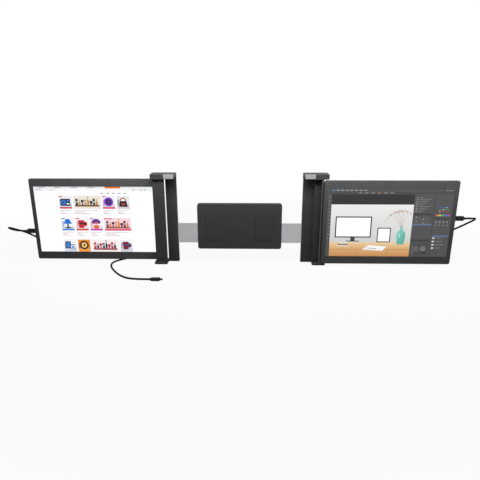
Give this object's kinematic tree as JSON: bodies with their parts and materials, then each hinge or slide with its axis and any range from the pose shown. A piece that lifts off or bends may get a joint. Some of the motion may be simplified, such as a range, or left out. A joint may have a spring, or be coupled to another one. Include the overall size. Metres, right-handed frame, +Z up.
{
  "type": "laptop screen extender",
  "caption": "Two slim side monitors hinged to sliding arms with silver top clips that clasp a laptop lid, each with a black cable.",
  "frame": {"origin": "on the desk under the rubber feet, midway between the outer edges of the two monitors and midway between the front and back of the whole object without its cables", "axes": "+X to the viewer's right along the row of screens, +Y away from the viewer through the lid, +Z up"},
  "size_m": [1.1638, 0.2102, 0.2253],
  "materials": {
    "housing_black": "fine matte texture",
    "bezel_black": "satin",
    "screen_glass": "clear over a dark panel",
    "lit_tray": "satin",
    "circuit_board": "solder mask",
    "port_metal": "satin",
    "clip_silver": "bright satin",
    "plate_aluminium": "anodised",
    "pin_steel": "ground",
    "screw_black": "blackened",
    "pad_rubber": "matte",
    "glide_polymer": "natural",
    "button_black": "satin",
    "cord_black": "matte sheath",
    "plug_black": "satin",
    "strip_black": "powder coat"
  },
  "bodies": {
    "centre": {"centre_front": "housing_black", "centre_back": "housing_black", "centre_pads": "pad_rubber", "centre_glides": "glide_polymer", "centre_screws": "screw_black", "kick_pin": "pin_steel"},
    "stand": {"kickstand": "strip_black", "kick_tip": "pad_rubber"},
    "left_arm": {"left_column": "housing_black", "left_head": "housing_black", "left_foot": "housing_black", "left_foot_pad": "pad_rubber", "left_arm_plate": "plate_aluminium", "left_arm_screws": "screw_black", "left_hinge_pins": "pin_steel"},
    "left_clasp": {"left_hook": "housing_black", "left_hook_clip": "clip_silver", "left_hook_pad": "pad_rubber"},
    "left_screen": {"left_bezel": "bezel_black", "left_display_panel": "screen_glass", "left_backlight": "lit_tray", "left_back_cover": "housing_black", "left_driver_board": "circuit_board", "left_case_screws": "screw_black", "left_screen_plug": "plug_black", "left_cord": "cord_black", "left_free_plug": "plug_black", "left_hinge_bar": "housing_black", "left_friction_rings": "pin_steel", "left_bar_screws": "screw_black"},
    "right_arm": {"right_column": "housing_black", "right_head": "housing_black", "right_foot": "housing_black", "right_foot_pad": "pad_rubber", "right_arm_plate": "plate_aluminium", "right_arm_screws": "screw_black", "right_hinge_pins": "pin_steel"},
    "right_clasp": {"right_hook": "housing_black", "right_hook_clip": "clip_silver", "right_hook_pad": "pad_rubber"},
    "right_screen": {"right_bezel": "bezel_black", "right_display_panel": "screen_glass", "right_backlight": "lit_tray", "right_back_cover": "housing_black", "right_driver_board": "circuit_board", "right_case_screws": "screw_black", "right_screen_plug": "plug_black", "right_cord": "cord_black", "right_free_plug": "plug_black", "right_hinge_strip": "strip_black", "right_leaf_screws": "screw_black", "right_cord_coil": "cord_black"},
    "left_power_button_body": {"left_power_button": "button_black"},
    "left_plus_button_body": {"left_plus_button": "button_black"},
    "left_minus_button_body": {"left_minus_button": "button_black"},
    "right_power_button_body": {"right_power_button": "button_black"},
    "right_plus_button_body": {"right_plus_button": "button_black"},
    "right_minus_button_body": {"right_minus_button": "button_black"}
  },
  "joints": [
    {"name": "kickstand_hinge", "type": "hinge", "parent": "centre", "child": "stand", "pos_m": [0, 0.0196, 0.118], "axis": [1, 0, 0], "range_deg": [0, 70]},
    {"name": "left_arm_slide", "type": "slide", "parent": "centre", "child": "left_arm", "axis": [1, 0, 0], "range_m": [-0.026, 0.028]},
    {"name": "left_hook_slide", "type": "slide", "parent": "left_arm", "child": "left_clasp", "axis": [0, 0, 1], "range_m": [0, 0.015]},
    {"name": "right_arm_slide", "type": "slide", "parent": "centre", "child": "right_arm", "axis": [1, 0, 0], "range_m": [-0.028, 0.026]},
    {"name": "right_hook_slide", "type": "slide", "parent": "right_arm", "child": "right_clasp", "axis": [0, 0, 1], "range_m": [0, 0.015]},
    {"name": "left_screen_hinge", "type": "hinge", "parent": "left_arm", "child": "left_screen", "pos_m": [-0.195, -0.0055, 0.109], "axis": [0, 0, 1], "range_deg": [-55, 180]},
    {"name": "right_screen_hinge", "type": "hinge", "parent": "right_arm", "child": "right_screen", "pos_m": [0.1981, -0.01225, 0.109], "axis": [0, 0, 1], "range_deg": [-180, 55]},
    {"name": "left_power_button_press", "type": "slide", "parent": "left_screen", "child": "left_power_button_body", "axis": [1, 0, 0], "range_m": [0, 0.0004], "stiffness_N_per_m": 400, "springref_m": -0.001},
    {"name": "left_plus_button_press", "type": "slide", "parent": "left_screen", "child": "left_plus_button_body", "axis": [1, 0, 0], "range_m": [0, 0.0004], "stiffness_N_per_m": 400, "springref_m": -0.001},
    {"name": "left_minus_button_press", "type": "slide", "parent": "left_screen", "child": "left_minus_button_body", "axis": [1, 0, 0], "range_m": [0, 0.0004], "stiffness_N_per_m": 400, "springref_m": -0.001},
    {"name": "right_power_button_press", "type": "slide", "parent": "right_screen", "child": "right_power_button_body", "axis": [-1, 0, 0], "range_m": [0, 0.0004], "stiffness_N_per_m": 400, "springref_m": -0.001},
    {"name": "right_plus_button_press", "type": "slide", "parent": "right_screen", "child": "right_plus_button_body", "axis": [-1, 0, 0], "range_m": [0, 0.0004], "stiffness_N_per_m": 400, "springref_m": -0.001},
    {"name": "right_minus_button_press", "type": "slide", "parent": "right_screen", "child": "right_minus_button_body", "axis": [-1, 0, 0], "range_m": [0, 0.0004], "stiffness_N_per_m": 400, "springref_m": -0.001}
  ]
}
